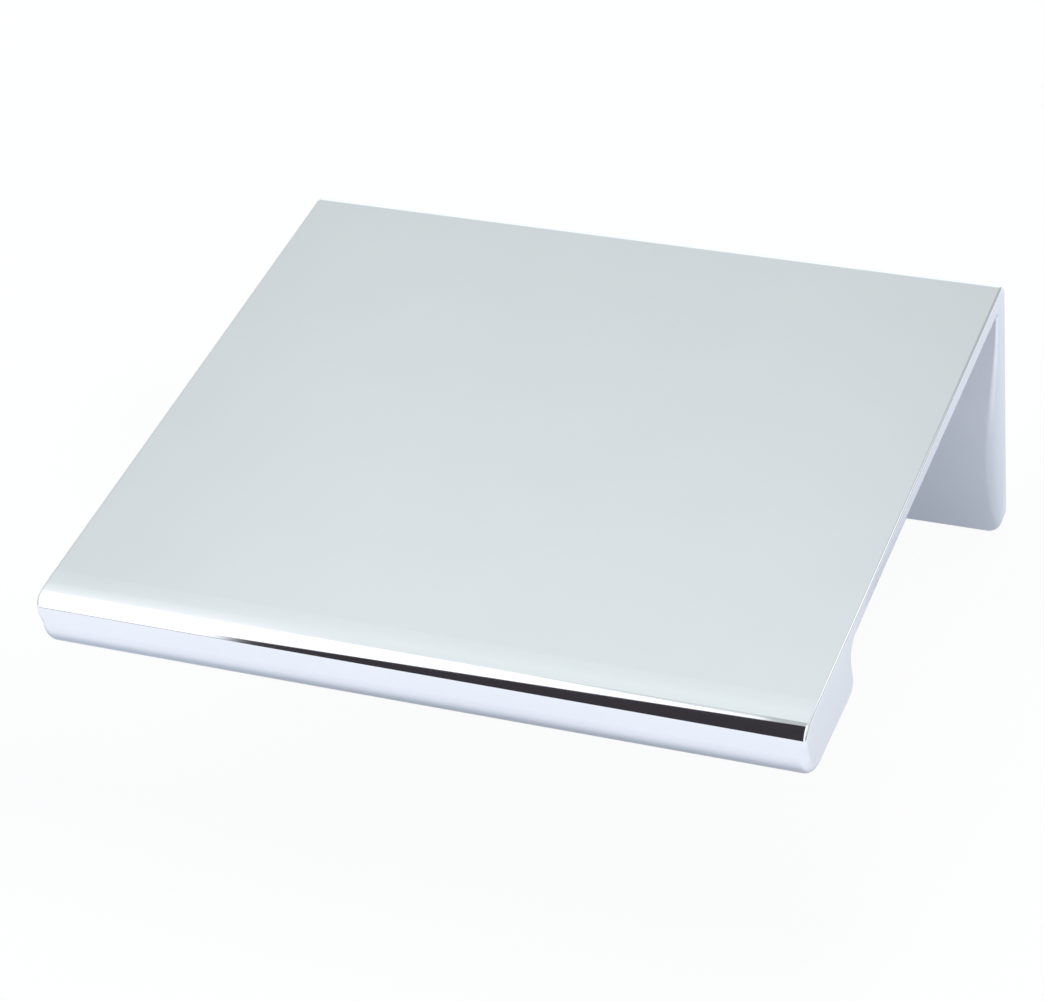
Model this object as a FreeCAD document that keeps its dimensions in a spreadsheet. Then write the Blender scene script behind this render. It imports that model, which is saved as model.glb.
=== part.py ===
import FreeCAD, Part
import math
import os
import Sketcher

# Tab pull that hooks over the top edge of a drawer or door front, one solid piece of plated metal.
# A thin flat plate ends in a thick finger lip in front and turns down into a screw leg behind.
# Millimetres. X runs along the pull, -Y is the front, +Z is up.
# The origin is midway between the two screw holes, on the leg face that bears on the board.

DIMENSIONS = [
    # Overall sizes
    ("length", 50.8),
    ("depth", 47.4),
    ("height", 20.8),
    # Plate and leg
    ("plate_thick", 1.45),
    ("leg_thick", 1.8),
    ("bend_outer_radius", 1.1),
    ("bend_inner_radius", 0.5),
    ("leg_corner_radius", 1.0),
    # Finger lip
    ("lip_height", 4.8),
    ("lip_depth", 9.7),
    ("roll_off_radius", 25.0),
    ("roll_off_run", 2.0),
    ("nose_top_radius", 1.0),
    ("nose_low_radius", 2.6),
    ("heel_radius", 0.7),
    ("web_radius", 0.8),
    # Screw holes, countersunk from behind
    ("screw_spacing", 32.0),
    ("screw_drop", 11.0),
    ("screw_hole_diameter", 4.2),
    ("countersink_diameter", 6.8),
    ("countersink_angle", 90.0),
    # Polished edge rounds
    ("top_edge_round", 0.2),
    ("under_edge_round", 0.22),
    ("web_edge_round", 0.6),
    ("leg_edge_round", 0.5),
    ("chin_edge_round", 0.6),
]

# A round may take at most this share of the wall that carries it.
WALL_SHARE = 0.48
TOLERANCE = 1e-4
QUARTER_TURN = math.pi / 2
START = 1
END = 2
CENTRE = 3


def make_sheet(doc):
    """Put every driving dimension in a cell of its own, under its name."""
    sheet = doc.addObject("Spreadsheet::Sheet", "Dims")
    for row, (name, value) in enumerate(DIMENSIONS, start=1):
        sheet.set(f"A{row}", name)
        sheet.set(f"B{row}", str(value))
        sheet.setAlias(f"B{row}", name)
    doc.recompute()
    return sheet


def origin_plane(body, role):
    """Find one of the body's own origin planes."""
    for feature in body.Origin.OriginFeatures:
        if feature.Role == role:
            return feature
    raise ValueError(f"no origin plane {role}")


def new_sketch(body, name, role):
    """Start a sketch on an origin plane of the body."""
    sketch = body.newObject("Sketcher::SketchObject", name)
    sketch.AttachmentSupport = [(origin_plane(body, role), "")]
    sketch.MapMode = "FlatFace"
    return sketch


def point(across, up):
    return FreeCAD.Vector(across, up, 0.0)


def line(sketch, start, end):
    return sketch.addGeometry(Part.LineSegment(point(*start), point(*end)), False)


def arc(sketch, centre, radius, first_angle, last_angle):
    circle = Part.Circle(point(*centre), FreeCAD.Vector(0, 0, 1), radius)
    return sketch.addGeometry(Part.ArcOfCircle(circle, first_angle, last_angle), False)


def quarter_arc(sketch, centre, radius, quadrant):
    """Add a quarter circle; quadrant 0 is the upper right one, counted anticlockwise."""
    first_angle = quadrant * QUARTER_TURN
    return arc(sketch, centre, radius, first_angle, first_angle + QUARTER_TURN)


def drive(sketch, cell, kind, *where):
    """Add a dimension and bind it to a cell of the sheet."""
    index = sketch.addConstraint(Sketcher.Constraint(kind, *where))
    sketch.renameConstraint(index, cell)
    sketch.setExpression(f"Constraints.{cell}", f"Dims.{cell}")


def draw_profile(body, size):
    """Draw the end profile of plate, leg and lip; sketch x is the part's Y, sketch y its Z."""
    sketch = new_sketch(body, "Profile", "YZ_Plane")
    top = size("screw_drop")
    under = top - size("plate_thick")
    outer = size("leg_thick")
    front = outer - size("depth")
    back = front + size("lip_depth")
    sole = top - size("lip_height")
    foot = top - size("height")
    bend = size("bend_outer_radius")
    inside = size("bend_inner_radius")
    nose = size("nose_top_radius")
    chin = size("nose_low_radius")
    heel = size("heel_radius")
    web = size("web_radius")
    roll = size("roll_off_radius")
    run = size("roll_off_run")
    tilt = math.asin(run / roll)
    roll_start = front + nose + (roll - nose) * math.sin(tilt)
    nose_level = top - roll + (roll - nose) * math.cos(tilt)
    top_angle = QUARTER_TURN
    front_angle = 2 * QUARTER_TURN

    nose_arc = arc(sketch, (front + nose, nose_level), nose, top_angle + tilt, front_angle)
    roll_arc = arc(sketch, (roll_start, top - roll), roll, top_angle, top_angle + tilt)
    top_line = line(sketch, (roll_start, top), (outer - bend, top))
    bend_arc = quarter_arc(sketch, (outer - bend, top - bend), bend, 0)
    outer_line = line(sketch, (outer, top - bend), (outer, foot))
    foot_line = line(sketch, (outer, foot), (0.0, foot))
    inner_line = line(sketch, (0.0, foot), (0.0, under - inside))
    inside_arc = quarter_arc(sketch, (-inside, under - inside), inside, 0)
    under_line = line(sketch, (-inside, under), (back + web, under))
    web_arc = quarter_arc(sketch, (back + web, under - web), web, 1)
    back_line = line(sketch, (back, under - web), (back, sole + heel))
    heel_arc = quarter_arc(sketch, (back - heel, sole + heel), heel, 3)
    sole_line = line(sketch, (back - heel, sole), (front + chin, sole))
    chin_arc = quarter_arc(sketch, (front + chin, sole + chin), chin, 2)
    front_line = line(sketch, (front, sole + chin), (front, nose_level))

    smooth_joints = [
        (front_line, END, nose_arc, END),
        (nose_arc, START, roll_arc, END),
        (roll_arc, START, top_line, START),
        (top_line, END, bend_arc, END),
        (bend_arc, START, outer_line, START),
        (inner_line, END, inside_arc, START),
        (inside_arc, END, under_line, START),
        (under_line, END, web_arc, START),
        (web_arc, END, back_line, START),
        (back_line, END, heel_arc, END),
        (heel_arc, START, sole_line, START),
        (sole_line, END, chin_arc, END),
        (chin_arc, START, front_line, START),
    ]
    for joint in smooth_joints:
        sketch.addConstraint(Sketcher.Constraint("Tangent", *joint))
    sketch.addConstraint(Sketcher.Constraint("Coincident", outer_line, END, foot_line, START))
    sketch.addConstraint(Sketcher.Constraint("Coincident", foot_line, END, inner_line, START))
    for level in (top_line, foot_line, under_line, sole_line):
        sketch.addConstraint(Sketcher.Constraint("Horizontal", level))
    for upright in (outer_line, inner_line, back_line, front_line):
        sketch.addConstraint(Sketcher.Constraint("Vertical", upright))
    vertical_axis = -2
    sketch.addConstraint(Sketcher.Constraint("PointOnObject", inner_line, START, vertical_axis))

    sketch_origin = (-1, START)
    drive(sketch, "screw_drop", "DistanceY", *sketch_origin, top_line, START, top)
    drive(sketch, "height", "DistanceY", outer_line, END, top_line, END, size("height"))
    drive(sketch, "plate_thick", "DistanceY", under_line, START, top_line, END, size("plate_thick"))
    drive(sketch, "lip_height", "DistanceY", sole_line, END, top_line, START, size("lip_height"))
    drive(sketch, "leg_thick", "DistanceX", inner_line, START, outer_line, END, size("leg_thick"))
    drive(sketch, "depth", "DistanceX", front_line, START, outer_line, END, size("depth"))
    drive(sketch, "lip_depth", "DistanceX", front_line, START, back_line, END, size("lip_depth"))
    drive(sketch, "bend_outer_radius", "Radius", bend_arc, bend)
    drive(sketch, "bend_inner_radius", "Radius", inside_arc, inside)
    drive(sketch, "roll_off_radius", "Radius", roll_arc, roll)
    drive(sketch, "roll_off_run", "DistanceX", roll_arc, END, roll_arc, START, run)
    drive(sketch, "nose_top_radius", "Radius", nose_arc, nose)
    drive(sketch, "nose_low_radius", "Radius", chin_arc, chin)
    drive(sketch, "heel_radius", "Radius", heel_arc, heel)
    drive(sketch, "web_radius", "Radius", web_arc, web)
    return sketch


def extrude_profile(body, sketch):
    """Run the profile along the pull, evenly to both sides of the middle."""
    pad = body.newObject("PartDesign::Pad", "Extrusion")
    pad.Profile = sketch
    pad.Midplane = True
    pad.setExpression("Length", "Dims.length")
    return pad


def leg_corner_edges(shape, size):
    """Name the two edges at the lower corners of the leg, which run front to back."""
    foot = size("screw_drop") - size("height")
    names = []
    for number, edge in enumerate(shape.Edges, start=1):
        box = edge.BoundBox
        level = abs(box.ZMin - foot) < TOLERANCE and abs(box.ZMax - foot) < TOLERANCE
        if level and box.XLength < TOLERANCE:
            names.append(f"Edge{number}")
    return names


def round_leg_corners(body, pad, size):
    fillet = body.newObject("PartDesign::Fillet", "LegCorners")
    fillet.Base = (pad, leg_corner_edges(pad.Shape, size))
    fillet.setExpression("Radius", "Dims.leg_corner_radius")
    return fillet


def drill_leg(body, size):
    """Drill two countersunk screw holes through the leg from its outer face."""
    sketch = new_sketch(body, "ScrewCentres", "XZ_Plane")
    sketch.setExpression("AttachmentOffset.Base.z", "-Dims.leg_thick")
    radius = size("screw_hole_diameter") / 2
    half = size("screw_spacing") / 2
    axis = FreeCAD.Vector(0, 0, 1)
    left = sketch.addGeometry(Part.Circle(point(-half, 0.0), axis, radius), False)
    right = sketch.addGeometry(Part.Circle(point(half, 0.0), axis, radius), False)
    sketch.addConstraint(Sketcher.Constraint("Equal", left, right))
    sketch.addConstraint(Sketcher.Constraint("Symmetric", left, CENTRE, right, CENTRE, -1, START))
    sketch.addConstraint(Sketcher.Constraint("PointOnObject", left, CENTRE, -1))
    spacing = size("screw_spacing")
    drive(sketch, "screw_spacing", "DistanceX", left, CENTRE, right, CENTRE, spacing)
    drive(sketch, "screw_hole_diameter", "Diameter", left, size("screw_hole_diameter"))
    body.Document.recompute()
    hole = body.newObject("PartDesign::Hole", "ScrewHoles")
    hole.Profile = sketch
    hole.Reversed = True
    hole.DepthType = "ThroughAll"
    hole.DrillPoint = "Flat"
    hole.Threaded = False
    hole.HoleCutType = "Countersink"
    hole.HoleCutCustomValues = True
    hole.setExpression("Diameter", "Dims.screw_hole_diameter")
    hole.setExpression("HoleCutDiameter", "Dims.countersink_diameter")
    hole.setExpression("HoleCutCountersinkAngle", "Dims.countersink_angle")
    return hole


def edge_round_at(place, size):
    """Give the round of the end edges at a place of the profile, kept within its wall."""
    top = size("screw_drop")
    under = top - size("plate_thick")
    outer = size("leg_thick")
    front = outer - size("depth")
    sole = top - size("lip_height")
    foot = top - size("height")
    wall = WALL_SHARE * min(size("plate_thick"), size("leg_thick"))
    crisp = min(size("top_edge_round"), wall)
    soft = min(size("under_edge_round"), wall, WALL_SHARE * size("heel_radius"))
    web = min(size("web_edge_round"), wall)
    leg = min(size("leg_edge_round"), WALL_SHARE * size("leg_thick"))
    chin = min(size("chin_edge_round"), WALL_SHARE * size("nose_low_radius"))
    chin_back = front + size("nose_low_radius")
    chin_top = sole + size("nose_low_radius")
    if place.y < chin_back + TOLERANCE and place.z < chin_top + TOLERANCE:
        return chin
    on_nose = abs(place.y - front) < TOLERANCE
    on_back = abs(place.y - outer) < TOLERANCE
    if on_nose or on_back or place.z > under + TOLERANCE:
        return crisp
    if foot + TOLERANCE < place.z < sole - TOLERANCE:
        return leg
    if place.z > under - size("web_radius") - TOLERANCE and place.y < -size("bend_inner_radius") - TOLERANCE:
        return web
    return soft


def end_edges(shape, size):
    """Find the closed run of edges round both ends and under the leg, by their numbers."""
    end = size("length") / 2
    foot = size("screw_drop") - size("height")
    sole = size("screw_drop") - size("lip_height")
    found = []
    for number, edge in enumerate(shape.Edges, start=1):
        box = edge.BoundBox
        on_end = box.XLength < TOLERANCE and abs(abs(box.XMin) - end) < TOLERANCE
        corner_seam = box.ZLength < TOLERANCE and box.ZMax < sole - TOLERANCE
        round_foot = abs(box.ZMin - foot) < TOLERANCE and box.YLength < TOLERANCE
        if round_foot or (on_end and not corner_seam):
            found.append((number, edge))
    return found


def end_rounds(shape, size):
    """Walk along the run from its first edge and give each edge the rounds at its two ends."""
    rest = end_edges(shape, size)
    place = rest[0][1].valueAt(rest[0][1].LastParameter)
    start = rest[0][1].valueAt(rest[0][1].FirstParameter)
    rows = [(rest[0][0], edge_round_at(start, size), edge_round_at(place, size))]
    rest = rest[1:]
    while rest:
        for item in rest:
            number, edge = item
            near = edge.valueAt(edge.FirstParameter)
            far = edge.valueAt(edge.LastParameter)
            if far.distanceToPoint(place) < TOLERANCE:
                near, far = far, near
            if near.distanceToPoint(place) < TOLERANCE:
                break
        else:
            raise RuntimeError("the end edges are not one closed run")
        rows.append((number, edge_round_at(near, size), edge_round_at(far, size)))
        rest.remove(item)
        place = far
    return rows


def round_ends(doc, body, size):
    """Round the edges: crisp along the top, softer below and softest under the lip and low on the leg."""
    fillet = doc.addObject("Part::Fillet", "TabPull")
    fillet.Base = body
    fillet.Edges = end_rounds(body.Shape, size)
    fillet.Label = "tab_pull"
    return fillet


def check(doc, pieces):
    for item in doc.Objects:
        if "Invalid" in item.State or "Error" in item.State:
            raise RuntimeError(f"{item.Label} failed: {item.State}")
    for piece in pieces:
        if piece.Shape.isNull() or not piece.Shape.isValid():
            raise RuntimeError(f"{piece.Label} has no valid shape")


def main():
    doc = FreeCAD.newDocument("TabPull")
    sheet = make_sheet(doc)

    def size(name):
        return float(sheet.get(name))

    body = doc.addObject("PartDesign::Body", "Blank")
    profile = draw_profile(body, size)
    pad = extrude_profile(body, profile)
    doc.recompute()
    corners = round_leg_corners(body, pad, size)
    doc.recompute()
    undrilled = corners.Shape.Volume
    drill_leg(body, size)
    doc.recompute()
    if not body.Shape.Volume < undrilled:
        raise RuntimeError("the screw holes cut nothing")
    pull = round_ends(doc, body, size)
    doc.recompute()
    check(doc, [pull])
    os.makedirs("parts", exist_ok=True)
    pull.Shape.exportStep(f"parts/{pull.Label}.step")
    print(pull.Label, round(pull.Shape.Volume, 2), pull.Shape.BoundBox)


main()
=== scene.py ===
import math
from collections import namedtuple

import bpy
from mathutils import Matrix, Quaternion, Vector


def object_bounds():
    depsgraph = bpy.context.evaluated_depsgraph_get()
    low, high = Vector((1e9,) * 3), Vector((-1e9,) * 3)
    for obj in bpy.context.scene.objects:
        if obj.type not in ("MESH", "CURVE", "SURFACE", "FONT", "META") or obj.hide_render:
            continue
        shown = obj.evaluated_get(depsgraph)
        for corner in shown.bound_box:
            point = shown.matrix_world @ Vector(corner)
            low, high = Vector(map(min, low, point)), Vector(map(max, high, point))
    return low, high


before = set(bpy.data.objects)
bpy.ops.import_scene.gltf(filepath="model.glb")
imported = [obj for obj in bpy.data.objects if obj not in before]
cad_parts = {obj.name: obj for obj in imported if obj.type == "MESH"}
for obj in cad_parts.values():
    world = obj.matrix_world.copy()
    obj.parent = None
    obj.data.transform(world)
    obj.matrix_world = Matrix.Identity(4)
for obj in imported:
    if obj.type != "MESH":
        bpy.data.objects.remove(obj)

cad_low, cad_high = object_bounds()

# A plated tab pull over a pale floor, and the studio that its metal mirrors.
# Lengths are in metres. The pull keeps the frame of its solid: X along it, -Y to the front,
# +Z up. A stop is a place and the level there. Any other pair of numbers tells where an effect
# starts and where it is full.

# Camera
CAMERA_PLACE = Vector((0.074661, -0.191106, 0.149464))
CAMERA_AIM = Vector((0.001478, -0.028890, 0.011))
CAMERA_ROLL = math.radians(-6.575)
CAMERA_LENS_MM = 121.30
CAMERA_SENSOR_MM = 36.0
CAMERA_NEAR = 0.005
CAMERA_FAR = 100.0

# Plain colours
WHITE = (1.0, 1.0, 1.0, 1.0)
BLACK = (0.0, 0.0, 0.0, 1.0)
BACKDROP = (0.996, 0.998, 1.0, 1.0)

# Floor, a small sheet just under the pull
FLOOR_FRONT = -0.156
FLOOR_BACK = 0.16
FLOOR_LEFT = -0.16
FLOOR_RIGHT = 0.10
FLOOR_DROP = 0.0001
FLOOR_COLOUR = (0.925, 0.955, 0.99, 1.0)
# Share of the backdrop's white that the camera sees on it, and of a pale white that metal mirrors.
FLOOR_WHITE_SEEN = 0.95
FLOOR_PALE_MIRRORED = 0.2
FLOOR_PALE = (0.93, 0.97, 1.0, 1.0)

# Soft shade on the floor close under the pull: its strength by Y, stronger on the left.
FLOOR_SHADE_COLOUR = (0.08, 0.16, 0.28, 1.0)
UNDER_SHADE_FRONT = -0.070
UNDER_SHADE_BACK = 0.010
UNDER_SHADE_STOPS = (
    (-0.067, 0.0),
    (-0.058, 0.04),
    (-0.054, 0.08),
    (-0.0507, 0.19),
    (-0.0473, 0.34),
    (-0.0441, 0.44),
    (-0.041, 0.52),
    (-0.032, 0.25),
    (-0.022, 0.03),
    (-0.0135, 0.07),
    (-0.0077, 0.21),
    (-0.002, 0.345),
    (0.001, 0.38),
    (0.009, 0.0),
)
UNDER_SHADE_LEFT_GAIN = 1.3
UNDER_SHADE_GAIN_END = (-0.012, -0.030)
UNDER_SHADE_LEFT_END = (-0.052, -0.036)
UNDER_SHADE_RIGHT_END = (0.031, 0.023)
# A weaker shade on the right, beside the leg.
SIDE_SHADE = 0.27
SIDE_SHADE_LEFT_END = (0.022, 0.028)
SIDE_SHADE_RIGHT_END = (0.060, 0.044)
SIDE_SHADE_FRONT_END = (-0.014, -0.006)
SIDE_SHADE_BACK_END = (0.040, 0.024)

# Soft light, even all round and stronger from a little left of overhead
LIGHT_EVEN = 0.27
LIGHT_OVERHEAD = 1.95
LIGHT_AXIS = Vector((-0.139, 0.0, 0.990))
LIGHT_FOCUS = 3.0

# Plated metal, with a faint haze that changes its tone and gloss a little
CHROME = (0.87, 0.89, 0.955, 1.0)
CHROME_HAZED = (0.858, 0.878, 0.943, 1.0)
CHROME_ROUGHNESS = 0.025
CHROME_HAZED_ROUGHNESS = 0.05
HAZE_SCALE = 160.0
HAZE_DETAIL = 4.0
# Noise levels of full haze and of none
HAZE_FULL = 0.3
HAZE_NONE = 0.7

# The studio that the metal mirrors. A direction is told by its share along X, called across, by
# its share along Z, called height, and by its turn about X: 0 is the front horizon, 90 degrees is
# overhead and 180 the rear horizon.
STUDIO_STRENGTH = 1.4
STUDIO_TINT = (1.0, 1.063, 1.022)
# Level by turn, in degrees
STUDIO_STOPS = (
    (0, 0.95),
    (30, 1.0),
    (80, 1.2),
    (104, 1.2),
    (111, 0.85),
    (117, 0.70),
    (126, 0.72),
    (128.5, 0.87),
    (130.7, 0.90),
    (134.9, 0.85),
    (137, 0.825),
    (141, 0.765),
    (143.5, 0.725),
    (147, 0.67),
    (150, 0.66),
    (154, 0.70),
    (158, 0.74),
    (161, 0.78),
    (164, 0.84),
    (167, 0.91),
    (170, 1.0),
    (176, 1.12),
    (180, 1.2),
)
# The studio is a little darker past these sides.
LEFT_FALL = (-0.36, -0.46)
LEFT_DARKER = 0.10
RIGHT_FALL = (-0.26, -0.18)
RIGHT_DARKER = 0.05
# Behind the pull: a white card far to the right, and a shaded part of the studio beside it
REAR = (math.radians(136), math.radians(143))
REAR_SHADE_LEVEL = 0.5
REAR_SHADE_LEFT = (-0.02, 0.12)
CARD_LEVEL = 1.25
CARD_EDGE_AT_FRONT = -1.147
CARD_EDGE_LEAN = 0.619
CARD_EDGE_SOFT = 0.03
# White soft box on the left, from the front horizon to past overhead
BOX_LEVEL = 1.35
BOX_TOP = (math.radians(131.8), math.radians(125.4))
BOX_EDGE_AT_FRONT = 0.2446
BOX_EDGE_LEAN = -0.275
BOX_EDGE_SOFT = 0.025
# Dark gap beside the soft box, a wedge that closes overhead
GAP_COLOUR = (0.043, 0.038, 0.043)
GAP_EDGE_AT_FRONT = -0.43
GAP_EDGE_LEAN = 0.112
GAP_EDGE_SOFT = 0.005
GAP_LEFT = (-0.401, -0.391)
GAP_RIGHT = (-0.195, -0.205)
GAP_TOP = (math.radians(103), math.radians(95))
# Left of the gap a thin line goes on low down, at the edge of the floor.
LINE_TOP = (math.radians(-4.2), math.radians(-5.2))
LINE_SHARE = 0.6
# The white over the gap dims at its right end.
DIM_LEVEL = 0.55
DIM_LEFT = (-0.2520, -0.2475)
DIM_RIGHT = (-0.224, -0.235)
DIM_TOP = (math.radians(128), math.radians(120))
# Grey room far to both sides, its level by height. It starts further out behind the pull, on the
# right along a line that leans with the height.
ROOM_LOW = -0.4
ROOM_STOPS = (
    (ROOM_LOW, 0.42),
    (0.0, 0.45),
    (0.17, 0.52),
    (0.36, 0.78),
    (0.5, 0.86),
    (0.8, 0.95),
    (1.0, 1.1),
)
ROOM_LEFT = (-0.52, -0.64)
ROOM_LEFT_SHIFT = 0.16
ROOM_RIGHT = (0.56, 0.68)
ROOM_RIGHT_BEHIND = (0.69, 0.735)
ROOM_RIGHT_LEAN = 0.25

# A direction in the studio, as the outputs of nodes
Aim = namedtuple("Aim", "across height turn signed_turn behind")


# Node helpers

def link(tree, source, target):
    tree.links.new(source, target)


def new_node(tree, kind, **settings):
    node = tree.nodes.new(kind)
    for name, value in settings.items():
        setattr(node, name, value)
    return node


def feed(tree, socket, value):
    """Give an input socket another node's output, or a plain value."""
    if isinstance(value, bpy.types.NodeSocket):
        link(tree, value, socket)
    else:
        socket.default_value = value


def math_node(tree, operation, *values):
    node = new_node(tree, "ShaderNodeMath", operation=operation)
    for socket, value in zip(node.inputs, values):
        feed(tree, socket, value)
    return node.outputs["Value"]


def times(tree, *values):
    product = values[0]
    for value in values[1:]:
        product = math_node(tree, "MULTIPLY", product, value)
    return product


def map_range(tree, value, old, new, interpolation="LINEAR"):
    node = new_node(tree, "ShaderNodeMapRange", interpolation_type=interpolation)
    feed(tree, node.inputs["Value"], value)
    for name, number in zip(("From Min", "From Max", "To Min", "To Max"), (*old, *new)):
        node.inputs[name].default_value = number
    return node.outputs["Result"]


def smooth_step(tree, value, start, full):
    """Rise smoothly from 0 at start to 1 at full."""
    return map_range(tree, value, (start, full), (0.0, 1.0), "SMOOTHSTEP")


def separate(tree, vector):
    node = new_node(tree, "ShaderNodeSeparateXYZ")
    link(tree, vector, node.inputs["Vector"])
    return node.outputs


def colour_ramp(tree, value, stops):
    node = new_node(tree, "ShaderNodeValToRGB")
    elements = node.color_ramp.elements
    while len(elements) < len(stops):
        elements.new(1.0)
    for element, (place, colour) in zip(elements, stops):
        element.position = place
        element.color = colour
    feed(tree, node.inputs["Fac"], value)
    return node.outputs["Color"]


def mix_colour(tree, share, first, second):
    node = new_node(tree, "ShaderNodeMix", data_type="RGBA")
    feed(tree, node.inputs["Factor"], share)
    feed(tree, node.inputs["A"], first)
    feed(tree, node.inputs["B"], second)
    return node.outputs["Result"]


def mix_shader(tree, share, first, second):
    node = new_node(tree, "ShaderNodeMixShader")
    feed(tree, node.inputs["Fac"], share)
    link(tree, first, node.inputs[1])
    link(tree, second, node.inputs[2])
    return node.outputs["Shader"]


def background(tree, colour, strength):
    node = new_node(tree, "ShaderNodeBackground")
    feed(tree, node.inputs["Color"], colour)
    feed(tree, node.inputs["Strength"], strength)
    return node.outputs["Background"]


def emission(tree, colour):
    node = new_node(tree, "ShaderNodeEmission")
    node.inputs["Color"].default_value = colour
    return node.outputs["Emission"]


def mirrored_ray(tree, path):
    """1 for a ray that a surface mirrors or lets through."""
    return math_node(
        tree, "MAXIMUM", path.outputs["Is Glossy Ray"], path.outputs["Is Transmission Ray"]
    )


# Studio

def studio_colour(colour):
    return (*(part / STUDIO_STRENGTH for part in colour), 1.0)


def plain(level):
    return studio_colour((level, level, level))


def tinted(level):
    return studio_colour([level * tint for tint in STUDIO_TINT])


def read_aim(tree, direction):
    part = separate(tree, direction)
    ahead = math_node(tree, "MULTIPLY", part["Y"], -1.0)
    signed_turn = math_node(tree, "ARCTAN2", part["Z"], ahead)
    turn = math_node(tree, "ABSOLUTE", signed_turn)
    behind = smooth_step(tree, turn, *REAR)
    return Aim(part["X"], part["Z"], turn, signed_turn, behind)


def past_leaning_edge(tree, aim, at_front, lean):
    """How far a direction lies to the right of an edge that leans as it turns."""
    edge = math_node(tree, "MULTIPLY_ADD", aim.turn, lean, at_front)
    return math_node(tree, "SUBTRACT", aim.across, edge)


def studio_walls(tree, aim):
    half_turn = math_node(tree, "DIVIDE", aim.turn, math.pi)
    stops = [(degrees / 180, tinted(level)) for degrees, level in STUDIO_STOPS]
    colour = colour_ramp(tree, half_turn, stops)
    left = times(tree, smooth_step(tree, aim.across, *LEFT_FALL), LEFT_DARKER)
    right = times(tree, smooth_step(tree, aim.across, *RIGHT_FALL), RIGHT_DARKER)
    return mix_colour(tree, math_node(tree, "ADD", left, right), colour, BLACK)


def add_shade_and_card(tree, aim, colour):
    in_shade = times(tree, smooth_step(tree, aim.across, *REAR_SHADE_LEFT), aim.behind)
    colour = mix_colour(tree, in_shade, colour, tinted(REAR_SHADE_LEVEL))
    past_edge = past_leaning_edge(tree, aim, CARD_EDGE_AT_FRONT, CARD_EDGE_LEAN)
    right_of_edge = smooth_step(tree, past_edge, -CARD_EDGE_SOFT, CARD_EDGE_SOFT)
    in_card = times(tree, right_of_edge, aim.behind)
    return mix_colour(tree, in_card, colour, plain(CARD_LEVEL))


def add_soft_box(tree, aim, colour):
    past_edge = past_leaning_edge(tree, aim, BOX_EDGE_AT_FRONT, BOX_EDGE_LEAN)
    left_of_edge = smooth_step(tree, past_edge, BOX_EDGE_SOFT, -BOX_EDGE_SOFT)
    in_box = times(tree, left_of_edge, smooth_step(tree, aim.turn, *BOX_TOP))
    colour = mix_colour(tree, in_box, colour, plain(BOX_LEVEL))
    in_dim = times(
        tree,
        smooth_step(tree, aim.across, *DIM_LEFT),
        smooth_step(tree, aim.across, *DIM_RIGHT),
        smooth_step(tree, aim.turn, *DIM_TOP),
    )
    return mix_colour(tree, in_dim, colour, tinted(DIM_LEVEL))


def add_dark_gap(tree, aim, colour):
    past_edge = past_leaning_edge(tree, aim, GAP_EDGE_AT_FRONT, GAP_EDGE_LEAN)
    in_gap = times(
        tree,
        smooth_step(tree, past_edge, -GAP_EDGE_SOFT, GAP_EDGE_SOFT),
        smooth_step(tree, aim.across, *GAP_RIGHT),
        smooth_step(tree, aim.turn, *GAP_TOP),
        smooth_step(tree, aim.across, *GAP_LEFT),
    )
    in_line = times(
        tree,
        smooth_step(tree, aim.signed_turn, *LINE_TOP),
        smooth_step(tree, aim.across, *reversed(GAP_LEFT)),
        LINE_SHARE,
    )
    dark = math_node(tree, "MAXIMUM", in_gap, in_line)
    return mix_colour(tree, dark, colour, studio_colour(GAP_COLOUR))


def add_side_room(tree, aim, colour):
    height = map_range(tree, aim.height, (ROOM_LOW, 1.0), (0.0, 1.0))
    span = 1.0 - ROOM_LOW
    stops = [((level - ROOM_LOW) / span, tinted(tone)) for level, tone in ROOM_STOPS]
    room = colour_ramp(tree, height, stops)

    shifted = math_node(tree, "MULTIPLY_ADD", aim.behind, ROOM_LEFT_SHIFT, aim.across)
    to_left = smooth_step(tree, shifted, *ROOM_LEFT)
    leaning = math_node(tree, "MULTIPLY_ADD", aim.height, ROOM_RIGHT_LEAN, aim.across)
    front_right = smooth_step(tree, aim.across, *ROOM_RIGHT)
    rear_right = smooth_step(tree, leaning, *ROOM_RIGHT_BEHIND)
    to_rear = math_node(tree, "SUBTRACT", rear_right, front_right)
    to_right = math_node(tree, "MULTIPLY_ADD", aim.behind, to_rear, front_right)
    return mix_colour(tree, math_node(tree, "ADD", to_left, to_right), colour, room)


def make_studio(tree, direction):
    """Colour the studio round the pull, from a direction."""
    aim = read_aim(tree, direction)
    colour = studio_walls(tree, aim)
    for add in (add_shade_and_card, add_soft_box, add_dark_gap, add_side_room):
        colour = add(tree, aim, colour)
    return colour


def light_strength(tree, direction):
    toward = new_node(tree, "ShaderNodeVectorMath", operation="DOT_PRODUCT")
    link(tree, direction, toward.inputs[0])
    toward.inputs[1].default_value = LIGHT_AXIS
    near_axis = math_node(tree, "MAXIMUM", toward.outputs["Value"], 0.0)
    focus = math_node(tree, "POWER", near_axis, LIGHT_FOCUS)
    return math_node(tree, "MULTIPLY_ADD", focus, LIGHT_OVERHEAD, LIGHT_EVEN)


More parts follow.
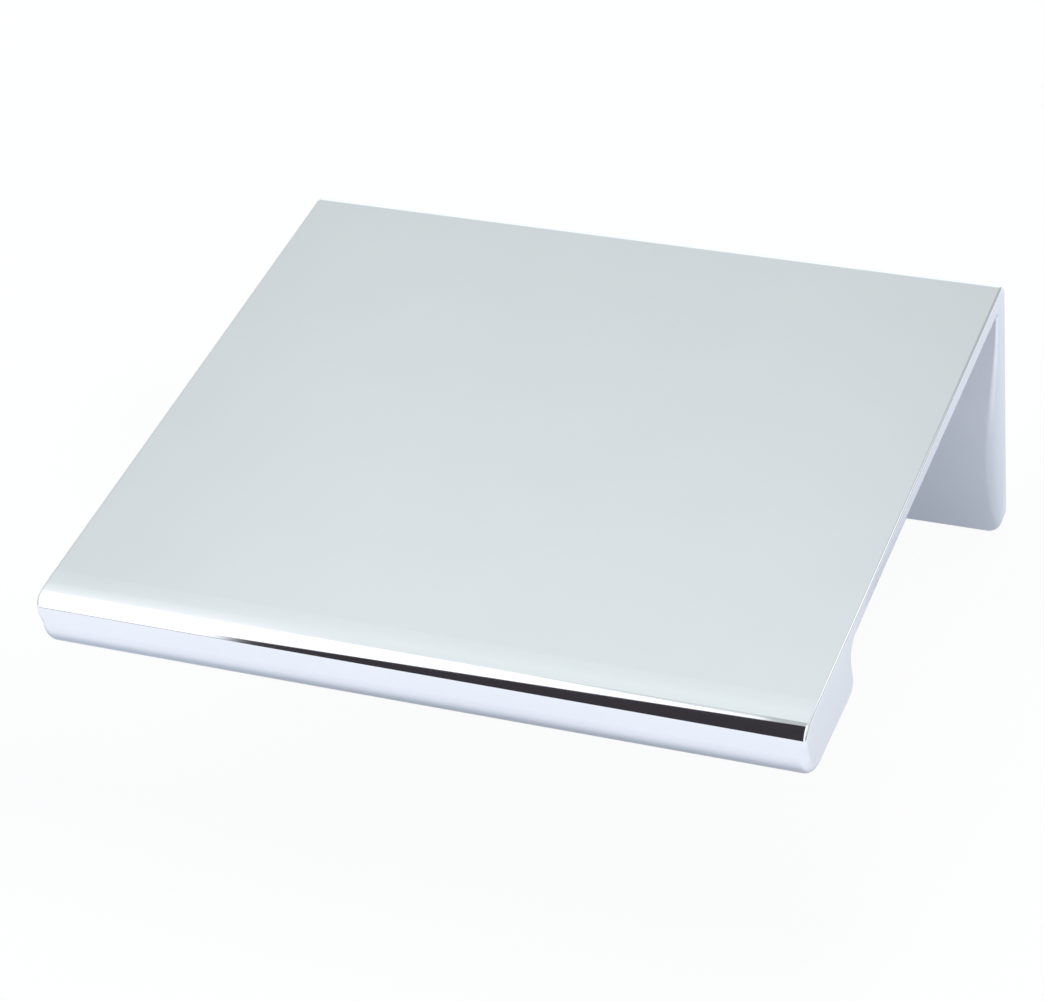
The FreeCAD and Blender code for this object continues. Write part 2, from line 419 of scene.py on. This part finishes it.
def make_world():
    """Soft light, mostly from above; the metal mirrors a studio and the camera sees white."""
    world = bpy.data.worlds.new("studio")
    world.use_nodes = True
    tree = world.node_tree
    tree.nodes.clear()
    direction = new_node(tree, "ShaderNodeTexCoord").outputs["Generated"]
    path = new_node(tree, "ShaderNodeLightPath")

    light = background(tree, WHITE, light_strength(tree, direction))
    studio = background(tree, make_studio(tree, direction), STUDIO_STRENGTH)
    shader = mix_shader(tree, mirrored_ray(tree, path), light, studio)
    backdrop = background(tree, BACKDROP, 1.0)
    shader = mix_shader(tree, path.outputs["Is Camera Ray"], shader, backdrop)
    output = new_node(tree, "ShaderNodeOutputWorld")
    link(tree, shader, output.inputs["Surface"])
    bpy.context.scene.world = world


# Floor

def shade_under(tree, x, y):
    depth = UNDER_SHADE_BACK - UNDER_SHADE_FRONT
    along = map_range(tree, y, (UNDER_SHADE_FRONT, UNDER_SHADE_BACK), (0.0, 1.0))
    stops = []
    for place, strength in UNDER_SHADE_STOPS:
        stops.append(((place - UNDER_SHADE_FRONT) / depth, (strength, strength, strength, 1.0)))
    return times(
        tree,
        colour_ramp(tree, along, stops),
        map_range(tree, x, UNDER_SHADE_GAIN_END, (1.0, UNDER_SHADE_LEFT_GAIN)),
        smooth_step(tree, x, *UNDER_SHADE_LEFT_END),
        smooth_step(tree, x, *UNDER_SHADE_RIGHT_END),
    )


def shade_beside(tree, x, y):
    return times(
        tree,
        smooth_step(tree, x, *SIDE_SHADE_LEFT_END),
        smooth_step(tree, x, *SIDE_SHADE_RIGHT_END),
        smooth_step(tree, y, *SIDE_SHADE_FRONT_END),
        smooth_step(tree, y, *SIDE_SHADE_BACK_END),
        SIDE_SHADE,
    )


def shaded_floor_colour(tree, place):
    """Floor colour with the soft shade under the pull and beside its leg."""
    part = separate(tree, place)
    under = shade_under(tree, part["X"], part["Y"])
    beside = shade_beside(tree, part["X"], part["Y"])
    shade = math_node(tree, "MAXIMUM", under, beside)
    return mix_colour(tree, shade, FLOOR_COLOUR, FLOOR_SHADE_COLOUR)


def make_floor_material():
    """Matt floor with a share of plain white for the camera and the metal, clear from below."""
    material = bpy.data.materials.new("floor_white")
    material.use_nodes = True
    tree = material.node_tree
    tree.nodes.clear()
    surface = new_node(tree, "ShaderNodeNewGeometry")
    path = new_node(tree, "ShaderNodeLightPath")

    matt = new_node(tree, "ShaderNodeBsdfDiffuse")
    link(tree, shaded_floor_colour(tree, surface.outputs["Position"]), matt.inputs["Color"])
    seen = times(tree, path.outputs["Is Camera Ray"], FLOOR_WHITE_SEEN)
    shader = mix_shader(tree, seen, matt.outputs["BSDF"], emission(tree, BACKDROP))
    mirrored = times(tree, mirrored_ray(tree, path), FLOOR_PALE_MIRRORED)
    shader = mix_shader(tree, mirrored, shader, emission(tree, FLOOR_PALE))
    clear = new_node(tree, "ShaderNodeBsdfTransparent")
    shader = mix_shader(tree, surface.outputs["Backfacing"], shader, clear.outputs["BSDF"])
    output = new_node(tree, "ShaderNodeOutputMaterial")
    link(tree, shader, output.inputs["Surface"])
    return material


def make_floor():
    level = cad_low.z - FLOOR_DROP
    corners = [
        (FLOOR_LEFT, FLOOR_FRONT, level),
        (FLOOR_RIGHT, FLOOR_FRONT, level),
        (FLOOR_RIGHT, FLOOR_BACK, level),
        (FLOOR_LEFT, FLOOR_BACK, level),
    ]
    mesh = bpy.data.meshes.new("floor")
    mesh.from_pydata(corners, [], [(0, 1, 2, 3)])
    mesh.materials.append(make_floor_material())
    floor = bpy.data.objects.new("floor", mesh)
    bpy.context.scene.collection.objects.link(floor)


# Pull

def make_chrome():
    """Bright plated metal with a faint haze."""
    material = bpy.data.materials.new("plated_metal_finish")
    material.use_nodes = True
    tree = material.node_tree
    shader = tree.nodes["Principled BSDF"]
    shader.inputs["Metallic"].default_value = 1.0
    haze = new_node(tree, "ShaderNodeTexNoise")
    haze.inputs["Scale"].default_value = HAZE_SCALE
    haze.inputs["Detail"].default_value = HAZE_DETAIL
    link(tree, new_node(tree, "ShaderNodeTexCoord").outputs["Object"], haze.inputs["Vector"])
    noise = haze.outputs["Fac"]
    tone = colour_ramp(tree, noise, ((HAZE_FULL, CHROME_HAZED), (HAZE_NONE, CHROME)))
    link(tree, tone, shader.inputs["Base Color"])
    roughness = (CHROME_HAZED_ROUGHNESS, CHROME_ROUGHNESS)
    rough = map_range(tree, noise, (HAZE_FULL, HAZE_NONE), roughness)
    link(tree, rough, shader.inputs["Roughness"])
    return material


def dress_pull():
    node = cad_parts["tab_pull"]
    node.data.materials.clear()
    node.data.materials.append(make_chrome())


def make_camera():
    data = bpy.data.cameras.new("camera")
    data.sensor_width = CAMERA_SENSOR_MM
    data.lens = CAMERA_LENS_MM
    data.clip_start = CAMERA_NEAR
    data.clip_end = CAMERA_FAR
    camera = bpy.data.objects.new("camera", data)
    bpy.context.scene.collection.objects.link(camera)
    level = (CAMERA_AIM - CAMERA_PLACE).to_track_quat("-Z", "Y")
    camera.location = CAMERA_PLACE
    camera.rotation_mode = "QUATERNION"
    camera.rotation_quaternion = level @ Quaternion((0.0, 0.0, 1.0), CAMERA_ROLL)
    bpy.context.scene.camera = camera


bpy.context.scene.view_settings.view_transform = "Standard"
make_world()
make_floor()
dress_pull()
make_camera()
